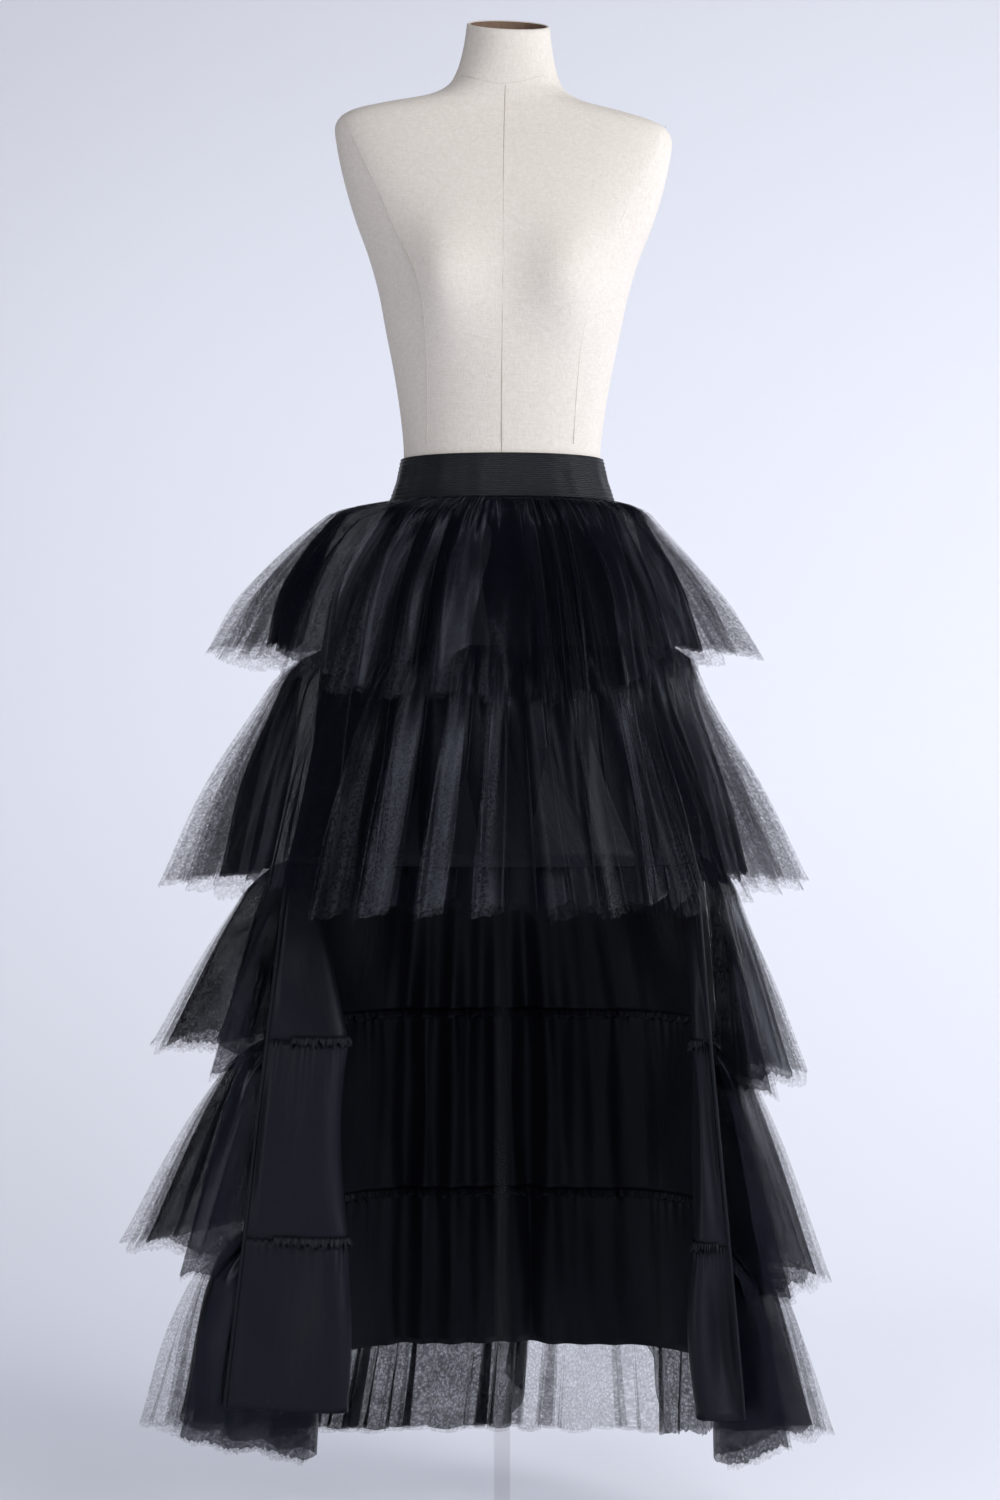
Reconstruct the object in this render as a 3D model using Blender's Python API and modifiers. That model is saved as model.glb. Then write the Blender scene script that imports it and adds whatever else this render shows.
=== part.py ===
"""Tiered tulle skirt with an open front, worn by a limbless dress form on a round stand.

Units are metres and +Z is up.  The front of the skirt faces -Y.  The origin is the centre
of the stand's underside, on the floor.
"""
import math

import bmesh
import bpy

# ---------------------------------------------------------------- driving sizes
COLLECTION = "tulle_skirt_on_dress_form"

BAND_TOP = 1.239
BAND_BOTTOM = 1.190
HIP_SEAM = 1.030
OPENING_TOP = 0.800
ROW_4_SEAM = 0.610
ROW_5_SEAM = 0.396
SATIN_HEM = 0.2125

GAP = 0.0003
FORM_GAP = 0.0004
WAIST_GAP = 0.0008
WAIST_SPREAD = 0.0009
BAND_WALL = 0.0025
SATIN_WALL = 0.0010
TULLE_WALL = 0.0012
BINDING_RADIUS = 0.0017

FORM_COLUMNS = 48
RING_COLUMNS = 116
NECK_WALL = 0.0035
NECK_TILT = 0.373
SHOULDER_SLANT = 0.041

POLE_RADIUS = 0.009
BASE_RADIUS = 0.190
BASE_THICKNESS = 0.006
HUB_RADIUS = 0.022
HUB_HEIGHT = 0.028
BOARD_THICKNESS = 0.009
FLANGE_RADIUS = 0.045
TURNED_STEPS = 48

# ---------------------------------------------------------------- tables
# The dress form, a row for each section: height, sideways lean, half width, reach to the
# front, reach to the back, squareness of the oval (2 is an ellipse).
FORM_SECTIONS = (
    # z,     lean,    half,   front,  back,   square
    (1.717, 0.0070, 0.0455, 0.0455, 0.0455, 2.0),
    (1.690, 0.0065, 0.0490, 0.0465, 0.0480, 2.0),
    (1.662, 0.0055, 0.0560, 0.0475, 0.0520, 2.0),
    (1.645, 0.0045, 0.0670, 0.0470, 0.0560, 2.0),
    (1.633, 0.0035, 0.0920, 0.0470, 0.0600, 2.1),
    (1.623, 0.0025, 0.1380, 0.0480, 0.0640, 2.3),
    (1.613, 0.0020, 0.1710, 0.0510, 0.0690, 2.6),
    (1.598, 0.0015, 0.1845, 0.0560, 0.0770, 2.8),
    (1.573, 0.0015, 0.1825, 0.0660, 0.0860, 2.8),
    (1.540, 0.0015, 0.1755, 0.0780, 0.0940, 2.7),
    (1.500, 0.0015, 0.1635, 0.0900, 0.1000, 2.5),
    (1.460, 0.0015, 0.1485, 0.0980, 0.1020, 2.4),
    (1.420, 0.0015, 0.1370, 0.1010, 0.1010, 2.3),
    (1.380, 0.0012, 0.1290, 0.0980, 0.0980, 2.2),
    (1.330, 0.0010, 0.1190, 0.0910, 0.0920, 2.1),
    (1.280, 0.0005, 0.1112, 0.0830, 0.0840, 2.1),
    (1.239, 0.0000, 0.1080, 0.0800, 0.0805, 2.1),
    (1.2145, 0.0000, 0.1128, 0.0810, 0.0820, 2.1),
    (1.190, 0.0000, 0.1215, 0.0835, 0.0865, 2.1),
    (1.150, 0.0000, 0.1360, 0.0890, 0.0960, 2.1),
    (1.100, 0.0000, 0.1510, 0.0970, 0.1100, 2.1),
    (1.050, 0.0000, 0.1620, 0.1020, 0.1220, 2.1),
    (1.000, 0.0000, 0.1660, 0.1030, 0.1260, 2.1),
    (0.950, 0.0000, 0.1620, 0.0990, 0.1230, 2.1),
    (0.900, 0.0000, 0.1540, 0.0920, 0.1160, 2.1),
)
BUST = {"z": 1.425, "height": 0.055, "x": 0.066, "width": 0.042, "rise": 0.017}

# The closed upper part of the satin, a row for each ring: height, half width to the left,
# half width to the right, reach to the front, reach to the back.
UPPER_RINGS = (
    (1.110, 0.1660, 0.1650, 0.1120, 0.1250),
    (HIP_SEAM, 0.1930, 0.1900, 0.1380, 0.1500),
)

# Where each place of the satin lies round the upper rings, in degrees from +X: left edge,
# left fold, left side, back left, back, back right, right side, right fold, right edge,
# front right, front, front left, and the left edge again.
PLACE_ANGLES = (207, 194, 163, 127, 87, 51, 15, -17, -32, -58, -90, -127, -153)

# The satin's seam lines seen from above, a row for each line, a place for each column.
# Each line runs from the left front edge round the back to the right front edge.
SATIN_LINES = {
    OPENING_TOP: ((-0.227, -0.085), (-0.203, -0.045), (-0.228, 0.060), (-0.135, 0.182),
                  (0.010, 0.206), (0.150, 0.178), (0.222, 0.060), (0.198, -0.062),
                  (0.205, -0.115)),
    ROW_4_SEAM: ((-0.250, -0.080), (-0.165, -0.078), (-0.232, 0.062), (-0.150, 0.215),
                 (0.015, 0.240), (0.185, 0.200), (0.240, 0.052), (0.202, -0.098),
                 (0.219, -0.121)),
    ROW_5_SEAM: ((-0.275, -0.073), (-0.165, -0.084), (-0.240, 0.065), (-0.155, 0.225),
                 (0.018, 0.250), (0.195, 0.215), (0.250, 0.056), (0.204, -0.104),
                 (0.238, -0.122)),
    SATIN_HEM: ((-0.297, -0.066), (-0.165, -0.086), (-0.245, 0.070), (-0.160, 0.230),
                (0.020, 0.255), (0.200, 0.220), (0.258, 0.060), (0.205, -0.108),
                (0.254, -0.122)),
}
FRONT_LINE = ((0.130, -0.180), (0.000, -0.203), (-0.145, -0.165))
SATIN_STEPS = (6, 6, 6, 5, 5, 6, 5, 5)
FRONT_STEPS = (4, 3, 3, 4)
BACK_FOLD = 0.007

# The closed tulle tiers, a row for each ring under the seam: height at the sides, at the
# front, at the back; reach to the left, right, front, back; depth of the folds.
RING_TIERS = {
    "tulle_tier_1": (
        (1.176, 1.165, 1.167, 0.186, 0.156, 0.106, 0.116, 0.004),
        (1.105, 1.085, 1.090, 0.262, 0.216, 0.172, 0.188, 0.010),
        (1.030, 0.966, 0.985, 0.312, 0.270, 0.235, 0.255, 0.018),
    ),
    "tulle_tier_2": (
        (0.986, 0.975, 0.980, 0.248, 0.216, 0.184, 0.200, 0.006),
        (0.778, 0.750, 0.762, 0.352, 0.322, 0.268, 0.292, 0.019),
    ),
}

# The open tulle tiers: seam, then for each line below it the nine places as x, y, z, and
# the depth of the folds.
OPEN_TIERS = {
    "tulle_tier_3": (OPENING_TOP, (
        (((-0.262, -0.066, 0.757), (-0.222, -0.024, 0.757), (-0.290, 0.070, 0.757),
          (-0.180, 0.228, 0.757), (0.010, 0.258, 0.757), (0.190, 0.220, 0.757),
          (0.262, 0.060, 0.757), (0.226, -0.042, 0.757), (0.238, -0.100, 0.757)), 0.006),
        (((-0.318, -0.060, 0.566), (-0.234, -0.032, 0.572), (-0.388, 0.030, 0.592),
          (-0.250, 0.270, 0.575), (0.000, 0.335, 0.570), (0.252, 0.272, 0.565),
          (0.334, 0.015, 0.557), (0.244, -0.056, 0.552), (0.292, -0.100, 0.550)), 0.020),
    )),
    "tulle_tier_4": (ROW_4_SEAM, (
        (((-0.290, -0.062, 0.560), (-0.196, -0.040, 0.560), (-0.314, 0.080, 0.560),
          (-0.190, 0.254, 0.560), (0.015, 0.286, 0.560), (0.215, 0.240, 0.560),
          (0.276, 0.062, 0.560), (0.226, -0.070, 0.560), (0.250, -0.106, 0.560)), 0.006),
        (((-0.348, -0.048, 0.344), (-0.234, -0.032, 0.352), (-0.420, 0.030, 0.370),
          (-0.270, 0.290, 0.360), (0.000, 0.355, 0.355), (0.268, 0.292, 0.350),
          (0.358, 0.018, 0.334), (0.252, -0.062, 0.326), (0.314, -0.102, 0.330)), 0.020),
    )),
    "tulle_tier_5": (ROW_5_SEAM, (
        (((-0.310, -0.062, 0.345), (-0.196, -0.048, 0.345), (-0.332, 0.080, 0.345),
          (-0.195, 0.264, 0.345), (0.018, 0.294, 0.345), (0.230, 0.252, 0.345),
          (0.300, 0.062, 0.345), (0.228, -0.074, 0.345), (0.272, -0.106, 0.345)), 0.006),
        (((-0.350, -0.046, 0.170), (-0.216, -0.032, 0.144), (-0.394, 0.040, 0.168),
          (-0.255, 0.275, 0.102), (0.000, 0.325, 0.092), (0.260, 0.280, 0.100),
          (0.364, 0.025, 0.164), (0.246, -0.066, 0.152), (0.308, -0.102, 0.172)), 0.018),
    )),
}


# ---------------------------------------------------------------- lines
def smooth_line(places, steps, closed=False):
    """The smooth line through the places, with steps[i] spans between places i and i + 1."""
    count = len(places)
    line = []
    for index, spans in enumerate(steps):
        ends = []
        for shift in (-1, 0, 1, 2):
            at = index + shift
            ends.append(places[at % count] if closed else places[min(max(at, 0), count - 1)])
        before, start, end, after = ends
        for step in range(spans):
            t = step / spans
            line.append(tuple(
                0.5 * (2 * s + (e - b) * t + (2 * b - 5 * s + 4 * e - a) * t * t
                       + (3 * s - b - 3 * e + a) * t ** 3)
                for b, s, e, a in zip(before, start, end, after)))
    if not closed:
        line.append(tuple(places[-1]))
    return line


def outward(line, closed=False):
    """The level direction that points out of the skirt at each point of a line."""
    count = len(line)
    directions = []
    for index in range(count):
        pair = []
        for first in (index - 1, index):
            if not closed and not 0 <= first < count - 1:
                continue
            start = line[first % count]
            end = line[(first + 1) % count]
            run = (end[0] - start[0], end[1] - start[1])
            length = math.hypot(*run)
            pair.append((-run[1] / length, run[0] / length))
        x = sum(direction[0] for direction in pair)
        y = sum(direction[1] for direction in pair)
        length = math.hypot(x, y)
        directions.append((x / length, y / length))
    return directions


def moved_out(line, distances, closed=False):
    """The line with each point moved out by its own distance."""
    moved = []
    for point, direction, distance in zip(line, outward(line, closed), distances):
        moved.append((point[0] + direction[0] * distance,
                      point[1] + direction[1] * distance) + tuple(point[2:]))
    return moved


def halved(line):
    """The same line with a point added in the middle of each span."""
    finer = [line[0]]
    for start, end in zip(line, line[1:]):
        finer.append(tuple((a + b) / 2 for a, b in zip(start, end)))
        finer.append(end)
    return finer


def at_height(line, z):
    return [(point[0], point[1], z) for point in line]


def smooth_step(value):
    value = min(max(value, 0.0), 1.0)
    return value * value * (3 - 2 * value)


def oval(angle, left, right, front, back, square=2.1):
    """A point of a rounded oval whose four reaches differ."""
    cosine = math.cos(angle)
    sine = math.sin(angle)
    x = math.copysign(abs(cosine) ** (2 / square), cosine)
    y = math.copysign(abs(sine) ** (2 / square), sine)
    return x * (right if x > 0 else left), y * (back if y > 0 else front)


# ---------------------------------------------------------------- the dress form's surface
def form_point(section, angle, out=0.0):
    """A point of one section of the dress form, moved out level by a distance."""
    z, lean, half, front, back, square = section
    x, y = oval(angle, half + out, half + out, front + out, back + out, square)
    if y < 0:
        across = (abs(x) - BUST["x"]) / BUST["width"]
        along = (z - BUST["z"]) / BUST["height"]
        y -= BUST["rise"] * math.exp(-across * across - along * along)
    slant = SHOULDER_SLANT * smooth_step((z - 1.30) / 0.30)
    tilt = NECK_TILT * smooth_step((z - 1.650) / 0.060)
    return x + lean, y, z - slant * x + tilt * y


def form_angles(columns=FORM_COLUMNS):
    return [math.pi - 2 * math.pi * column / columns for column in range(columns)]


def waist_ring(angles, out):
    section = next(row for row in FORM_SECTIONS if row[0] == BAND_BOTTOM)
    return [form_point(section, angle, out)[:2] for angle in angles]


# ---------------------------------------------------------------- objects
def clear_scene():
    for thing in list(bpy.data.objects):
        bpy.data.objects.remove(thing, do_unlink=True)


def finish_material(name, colour, roughness, metallic=0.0):
    material = bpy.data.materials.new(name)
    material.use_nodes = True
    shader = material.node_tree.nodes["Principled BSDF"]
    shader.inputs["Base Color"].default_value = (*colour, 1.0)
    shader.inputs["Roughness"].default_value = roughness
    shader.inputs["Metallic"].default_value = metallic
    return material


def add_object(name, data, material):
    piece = bpy.data.objects.new(name, data)
    data.materials.append(material)
    bpy.data.collections[COLLECTION].objects.link(piece)
    return piece


def loft(name, rings, material, closed=False, capped=False):
    """A surface through rings of as many points each, listed from the top down."""
    count = len(rings[0])
    vertices = [point for ring in rings for point in ring]
    faces = []
    for row in range(len(rings) - 1):
        for column in range(count if closed else count - 1):
            beside = (column + 1) % count
            faces.append((row * count + column, row * count + beside,
                          (row + 1) * count + beside, (row + 1) * count + column))
    if capped:
        last = (len(rings) - 1) * count
        faces.append(tuple(reversed(range(count))))
        faces.append(tuple(range(last, last + count)))
    mesh = bpy.data.meshes.new(name)
    mesh.from_pydata(vertices, [], faces)
    mesh.shade_smooth()
    return add_object(name, mesh, material)


def give_wall(piece, thickness):
    """The surface is the cloth's inner face, and its wall grows outwards."""
    wall = piece.modifiers.new("wall", "SOLIDIFY")
    wall.thickness = thickness
    wall.offset = 1.0


def turned(name, profile, material):
    """A closed profile of (radius, height) pairs, spun round the Z axis."""
    mesh = bpy.data.meshes.new(name)
    vertices = [(radius, 0.0, z) for radius, z in profile]
    edges = [(index, index + 1) for index in range(len(profile) - 1)]
    mesh.from_pydata(vertices, edges, [])
    piece = add_object(name, mesh, material)
    spin = piece.modifiers.new("turn", "SCREW")
    spin.steps = TURNED_STEPS
    spin.render_steps = TURNED_STEPS
    spin.use_merge_vertices = True
    spin.merge_threshold = 0.00001
    return piece


# ---------------------------------------------------------------- the dress form and stand
def make_form(linen):
    angles = form_angles()
    rings = []
    rim = FORM_SECTIONS[0]
    floor = (1.672, 0.0060, 0.0460, 0.0400, 0.0430, 2.0)
    rings.append([form_point(floor, angle)[:2] + (floor[0],) for angle in angles])
    lip = (1.700, 0.0066, 0.0480 - NECK_WALL, 0.0458 - NECK_WALL, 0.0470 - NECK_WALL, 2.0)
    rings.append([form_point(lip, angle) for angle in angles])
    rings.append([form_point(rim, angle, -NECK_WALL) for angle in angles])
    for section in FORM_SECTIONS:
        rings.append([form_point(section, angle) for angle in angles])
    return loft("form_torso", rings, linen, closed=True, capped=True)


def make_board(wood):
    top = FORM_SECTIONS[-1][0] - GAP
    section = FORM_SECTIONS[-1]
    inset = -0.004
    rings = []
    for z in (top, top - BOARD_THICKNESS):
        ring = [form_point(section, angle, inset)[:2] for angle in form_angles()]
        rings.append(at_height(ring, z))
    return loft("form_base_board", rings, wood, closed=True, capped=True)


def make_stand(steel, acrylic):
    board_under = FORM_SECTIONS[-1][0] - GAP - BOARD_THICKNESS
    edge = 0.002
    turned("stand_base", (
        (0.0, BASE_THICKNESS), (BASE_RADIUS - edge, BASE_THICKNESS),
        (BASE_RADIUS, BASE_THICKNESS - edge), (BASE_RADIUS, edge),
        (BASE_RADIUS - edge, 0.0), (0.0, 0.0)), steel)

    bottom = BASE_THICKNESS + GAP
    top = board_under - GAP
    bore = POLE_RADIUS + GAP
    hub_top = bottom + HUB_HEIGHT
    ring_profile("stand_hub", bore, HUB_RADIUS, bottom, hub_top, steel)
    ring_profile("stand_flange", bore, FLANGE_RADIUS, top - 0.005, top, steel)

    mesh = bpy.data.meshes.new("stand_pole")
    shape = bmesh.new()
    bmesh.ops.create_cone(shape, cap_ends=True, segments=32, radius1=POLE_RADIUS,
                          radius2=POLE_RADIUS, depth=top - bottom)
    shape.to_mesh(mesh)
    shape.free()
    pole = add_object("stand_pole", mesh, acrylic)
    pole.location = (0.0, 0.0, (top + bottom) / 2)


def ring_profile(name, bore, radius, bottom, top, material):
    edge = 0.0015
    turned(name, (
        (bore, top), (radius - edge, top), (radius, top - edge), (radius, bottom),
        (bore, bottom), (bore, top)), material)


# ---------------------------------------------------------------- the skirt
def satin_line(z):
    """The satin's line at a seam of the open part, with its soft folds at the back."""
    line = smooth_line(SATIN_LINES[z], SATIN_STEPS)
    depth = BACK_FOLD * smooth_step((OPENING_TOP - z) / 0.19)
    first = sum(SATIN_STEPS[:3])
    last = sum(SATIN_STEPS[:5])
    shifts = [depth * math.sin(math.pi / 2 * (index - first)) if first < index < last else 0.0
              for index in range(len(line))]
    return moved_out(line, shifts)


def upper_rings():
    """The closed rings of the upper satin, from the waist down to the top of the opening."""
    steps = SATIN_STEPS + FRONT_STEPS
    angles = [math.radians(angle[0]) for angle in
              smooth_line([(angle,) for angle in PLACE_ANGLES], steps)][:-1]
    rings = [at_height(waist_ring(angles, WAIST_GAP), BAND_BOTTOM - GAP - SATIN_WALL / 2)]
    for z, left, right, front, back in UPPER_RINGS:
        rings.append(at_height([oval(angle, left, right, front, back) for angle in angles], z))
    back_line = satin_line(OPENING_TOP)
    ends = [back_line[-1], *FRONT_LINE, back_line[0]]
    front_line = smooth_line(ends, FRONT_STEPS)
    rings.append(at_height(back_line + front_line[1:-1], OPENING_TOP))
    return rings


def make_waistband(elastic):
    angles = form_angles()
    sections = [row for row in FORM_SECTIONS if BAND_BOTTOM <= row[0] <= BAND_TOP]
    rings = [[form_point(section, angle, FORM_GAP) for angle in angles]
             for section in sections]
    band = loft("waistband", rings, elastic, closed=True)
    give_wall(band, BAND_WALL)


def make_upper_satin(satin):
    rings = upper_rings()
    back_count = sum(SATIN_STEPS) + 1
    back = [ring[:back_count] for ring in rings]
    front = [ring[back_count - 1:] + ring[:1] for ring in rings]
    for ring in front:
        for end, beside in ((0, 1), (-1, -2)):
            span = math.dist(ring[end], ring[beside])
            ring[end] = tuple(a + (b - a) * GAP / span
                              for a, b in zip(ring[end], ring[beside]))
    give_wall(loft("satin_upper_back", back, satin), SATIN_WALL)
    give_wall(loft("satin_upper_front", front, satin), SATIN_WALL)


def make_satin_rows(satin):
    seams = (OPENING_TOP, ROW_4_SEAM, ROW_5_SEAM, SATIN_HEM)
    for number, top, bottom in zip((3, 4, 5), seams, seams[1:]):
        rings = [at_height(satin_line(top), top - GAP), at_height(satin_line(bottom), bottom)]
        give_wall(loft(f"satin_row_{number}", rings, satin), SATIN_WALL)


def make_edge_bindings(satin):
    """The narrow bound edges down both sides of the opening, flush with the satin's outside."""
    reach = GAP + BINDING_RADIUS
    for side, end, beside in (("left", 0, 1), ("right", -1, -2)):
        points = []
        for z in (OPENING_TOP, ROW_4_SEAM, ROW_5_SEAM, SATIN_HEM):
            line = satin_line(z)
            out = outward(line)[end]
            span = math.dist(line[end], line[beside])
            x, y = (a + (a - b) * reach / span + normal * (SATIN_WALL - BINDING_RADIUS)
                    for a, b, normal in zip(line[end], line[beside], out))
            points.append((x, y, z))
        curve = bpy.data.curves.new(f"edge_binding_{side}", "CURVE")
        curve.dimensions = "3D"
        curve.bevel_depth = BINDING_RADIUS
        curve.bevel_resolution = 2
        curve.use_fill_caps = True
        spline = curve.splines.new("POLY")
        spline.points.add(len(points) - 1)
        for point, place in zip(spline.points, points):
            point.co = (*place, 1.0)
        add_object(f"edge_binding_{side}", curve, satin)


def fold_depths(count, depth, envelope):
    """Folds of four spans each, no two as deep as each other."""
    depths = []
    for index in range(count):
        fold = index // 4
        uneven = 0.78 + 0.16 * math.sin(2.3 * fold + 0.6) + 0.10 * math.sin(1.1 * fold)
        depths.append(depth * uneven * envelope(index / count) * math.sin(math.pi / 2 * index))
    return depths


def make_ring_tiers(tulle):
    angles = form_angles(RING_COLUMNS)
    seat = SATIN_WALL + GAP + GAP / 2
    hip = UPPER_RINGS[-1]
    tops = {
        "tulle_tier_1": at_height(waist_ring(angles, WAIST_GAP + WAIST_SPREAD + seat),
                                  BAND_BOTTOM - GAP - TULLE_WALL),
        "tulle_tier_2": at_height(
            [oval(angle, *(reach + seat for reach in hip[1:])) for angle in angles], HIP_SEAM),
    }
    for name, rows in RING_TIERS.items():
        rings = [tops[name]]
        for side_z, front_z, back_z, left, right, front, back, depth in rows:
            ring = []
            for angle in angles:
                x, y = oval(angle, left, right, front, back)
                sine = math.sin(angle)
                end_z = back_z if sine > 0 else front_z
                ring.append((x, y, side_z + (end_z - side_z) * sine * sine))
            depths = fold_depths(RING_COLUMNS, depth, lambda place: 1.0)
            rings.append(moved_out(ring, depths, closed=True))
        give_wall(loft(name, rings, tulle, closed=True), TULLE_WALL)


def make_open_tiers(tulle):
    """The tiers that leave the front open, folded back behind the front edges."""
    seat = SATIN_WALL + GAP
    steps = [2 * spans for spans in SATIN_STEPS]

    def envelope(place):
        return 0.12 + 0.88 * smooth_step((place - 0.25) / 0.07) * smooth_step((0.80 - place) / 0.07)

    for name, (seam, rows) in OPEN_TIERS.items():
        line = satin_line(seam)
        top = halved(moved_out(line, [seat] * len(line)))
        rings = [at_height(top, seam)]
        for places, depth in rows:
            hem = smooth_line(places, steps)
            rings.append(moved_out(hem, fold_depths(len(hem), depth, envelope)))
        give_wall(loft(name, rings, tulle), TULLE_WALL)


def build():
    clear_scene()
    collection = bpy.data.collections.new(COLLECTION)
    bpy.context.scene.collection.children.link(collection)

    linen = finish_material("linen", (0.80, 0.74, 0.66), 0.85)
    wood = finish_material("wood", (0.30, 0.20, 0.12), 0.55)
    steel = finish_material("black_steel", (0.02, 0.02, 0.022), 0.40, 0.6)
    acrylic = finish_material("clear_acrylic", (0.90, 0.92, 0.94), 0.05)
    elastic = finish_material("black_elastic", (0.025, 0.028, 0.036), 0.60)
    satin = finish_material("black_satin", (0.012, 0.013, 0.018), 0.35)
    tulle = finish_material("black_tulle", (0.010, 0.010, 0.014), 0.70)

    make_form(linen)
    make_board(wood)
    make_stand(steel, acrylic)
    make_waistband(elastic)
    make_upper_satin(satin)
    make_satin_rows(satin)
    make_edge_bindings(satin)
    make_ring_tiers(tulle)
    make_open_tiers(tulle)


build()
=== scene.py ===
"""Looks of a tiered black tulle skirt with an open front, worn by a linen dress form.

Units are metres, +Z is up and the front of the skirt faces -Y, as in the frame.
"""
import math

import bpy
import numpy as np
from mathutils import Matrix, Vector


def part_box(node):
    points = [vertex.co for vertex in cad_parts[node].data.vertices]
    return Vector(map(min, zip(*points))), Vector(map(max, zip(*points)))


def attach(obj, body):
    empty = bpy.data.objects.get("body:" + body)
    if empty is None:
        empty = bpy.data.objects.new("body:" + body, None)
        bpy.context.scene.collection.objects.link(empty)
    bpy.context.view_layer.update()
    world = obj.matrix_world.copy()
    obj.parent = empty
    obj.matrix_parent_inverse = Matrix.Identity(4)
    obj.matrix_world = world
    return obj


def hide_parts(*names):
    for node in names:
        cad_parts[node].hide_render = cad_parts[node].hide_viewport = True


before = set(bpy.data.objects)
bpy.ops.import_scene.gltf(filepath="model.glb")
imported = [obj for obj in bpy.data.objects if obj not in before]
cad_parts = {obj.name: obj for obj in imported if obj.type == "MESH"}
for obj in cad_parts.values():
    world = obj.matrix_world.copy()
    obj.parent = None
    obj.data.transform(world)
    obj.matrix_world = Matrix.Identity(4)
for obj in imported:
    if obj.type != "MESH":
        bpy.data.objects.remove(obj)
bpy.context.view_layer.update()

# ---------------------------------------------------------------- sizes
BAND_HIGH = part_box("waistband")[1][2]
OPENING_TOP = 0.800
ROW_4_SEAM = 0.610
ROW_5_SEAM = 0.396
SATIN_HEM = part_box("satin_row_5")[0][2]
SATIN_SEAMS = (OPENING_TOP, ROW_4_SEAM, ROW_5_SEAM, SATIN_HEM)
HIP_SEAM = 1.030
BAND_BOTTOM = 1.190

FORM_COLUMNS = 160
FORM_RINGS = 110
BAND_WALL = 0.0025
BAND_ROOM = 0.0006
BAND_RIBS, BAND_RIB, BAND_WRINKLE = 11, 0.00055, 0.0008
SATIN_WALL = 0.0008
SHELL_GAP = 0.0004
BINDING_REACH, BINDING_RADIUS = 0.0018, 0.0019
NECK_WALL = 0.0035
NECK_TILT = 0.373
SHOULDER_SLANT = 0.041
TURN = 2 * math.pi
FLOOR_REACH, WALL_REACH = 4.5, 1.5

# The dress form from the neck down: height, sideways lean, half width, reach to the front,
# reach to the back, squareness of the oval (2 is an ellipse).
FORM_SECTIONS = (
    (1.717, 0.0070, 0.0455, 0.0455, 0.0455, 2.0),
    (1.690, 0.0065, 0.0490, 0.0465, 0.0480, 2.0),
    (1.662, 0.0055, 0.0560, 0.0475, 0.0520, 2.0),
    (1.645, 0.0045, 0.0670, 0.0470, 0.0560, 2.0),
    (1.633, 0.0035, 0.0920, 0.0470, 0.0600, 2.1),
    (1.623, 0.0025, 0.1380, 0.0480, 0.0640, 2.3),
    (1.613, 0.0020, 0.1710, 0.0510, 0.0690, 2.6),
    (1.598, 0.0015, 0.1845, 0.0560, 0.0770, 2.8),
    (1.573, 0.0015, 0.1825, 0.0660, 0.0860, 2.8),
    (1.540, 0.0015, 0.1755, 0.0780, 0.0940, 2.7),
    (1.500, 0.0015, 0.1635, 0.0900, 0.1000, 2.5),
    (1.460, 0.0015, 0.1485, 0.0980, 0.1020, 2.4),
    (1.420, 0.0015, 0.1370, 0.1010, 0.1010, 2.3),
    (1.380, 0.0012, 0.1290, 0.0980, 0.0980, 2.2),
    (1.330, 0.0010, 0.1190, 0.0910, 0.0920, 2.1),
    (1.280, 0.0005, 0.1112, 0.0830, 0.0840, 2.1),
    (1.239, 0.0000, 0.1080, 0.0800, 0.0805, 2.1),
    (1.2145, 0.0000, 0.1128, 0.0810, 0.0820, 2.1),
    (1.190, 0.0000, 0.1215, 0.0835, 0.0865, 2.1),
    (1.150, 0.0000, 0.1360, 0.0890, 0.0960, 2.1),
    (1.100, 0.0000, 0.1510, 0.0970, 0.1100, 2.1),
    (1.050, 0.0000, 0.1620, 0.1020, 0.1220, 2.1),
    (1.000, 0.0000, 0.1660, 0.1030, 0.1260, 2.1),
    (0.950, 0.0000, 0.1620, 0.0990, 0.1230, 2.1),
    (0.900, 0.0000, 0.1540, 0.0920, 0.1160, 2.1),
)
BUST_HEIGHT, BUST_REACH = 1.425, 0.055
BUST_ACROSS, BUST_WIDTH, BUST_RISE = 0.068, 0.038, 0.020
PANEL_SINK = 0.0016

# The seams of the linen cover: height and distance from the middle, from the top down.
LEFT_SEAM = ((1.618, -0.176), (1.575, -0.158), (1.522, -0.133), (1.482, -0.116),
             (1.451, -0.102), (1.421, -0.091), (1.382, -0.084), (1.340, -0.081),
             (1.250, -0.081))
RIGHT_SEAM = ((1.606, 0.180), (1.557, 0.161), (1.505, 0.135), (1.465, 0.118),
              (1.425, 0.105), (1.398, 0.096), (1.364, 0.086), (1.314, 0.081),
              (1.250, 0.077))
NECK_SEAM = ((1.6560, -0.045), (1.6455, -0.020), (1.6420, 0.000), (1.6450, 0.022),
             (1.6540, 0.046))
MIDDLE_SEAM = ((1.640, 0.004), (1.560, 0.002), (1.425, 0.001), (1.320, 0.000),
               (1.236, 0.000))

# The closed upper part of the satin: height, half width to the left and to the right,
# reach to the front and to the back.
UPPER_RINGS = (
    (1.110, 0.1660, 0.1650, 0.1120, 0.1250),
    (HIP_SEAM, 0.1930, 0.1900, 0.1380, 0.1500),
)
PLACE_ANGLES = (207, 194, 163, 127, 87, 51, 15, -17, -32, -58, -90, -127, -153)

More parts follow.
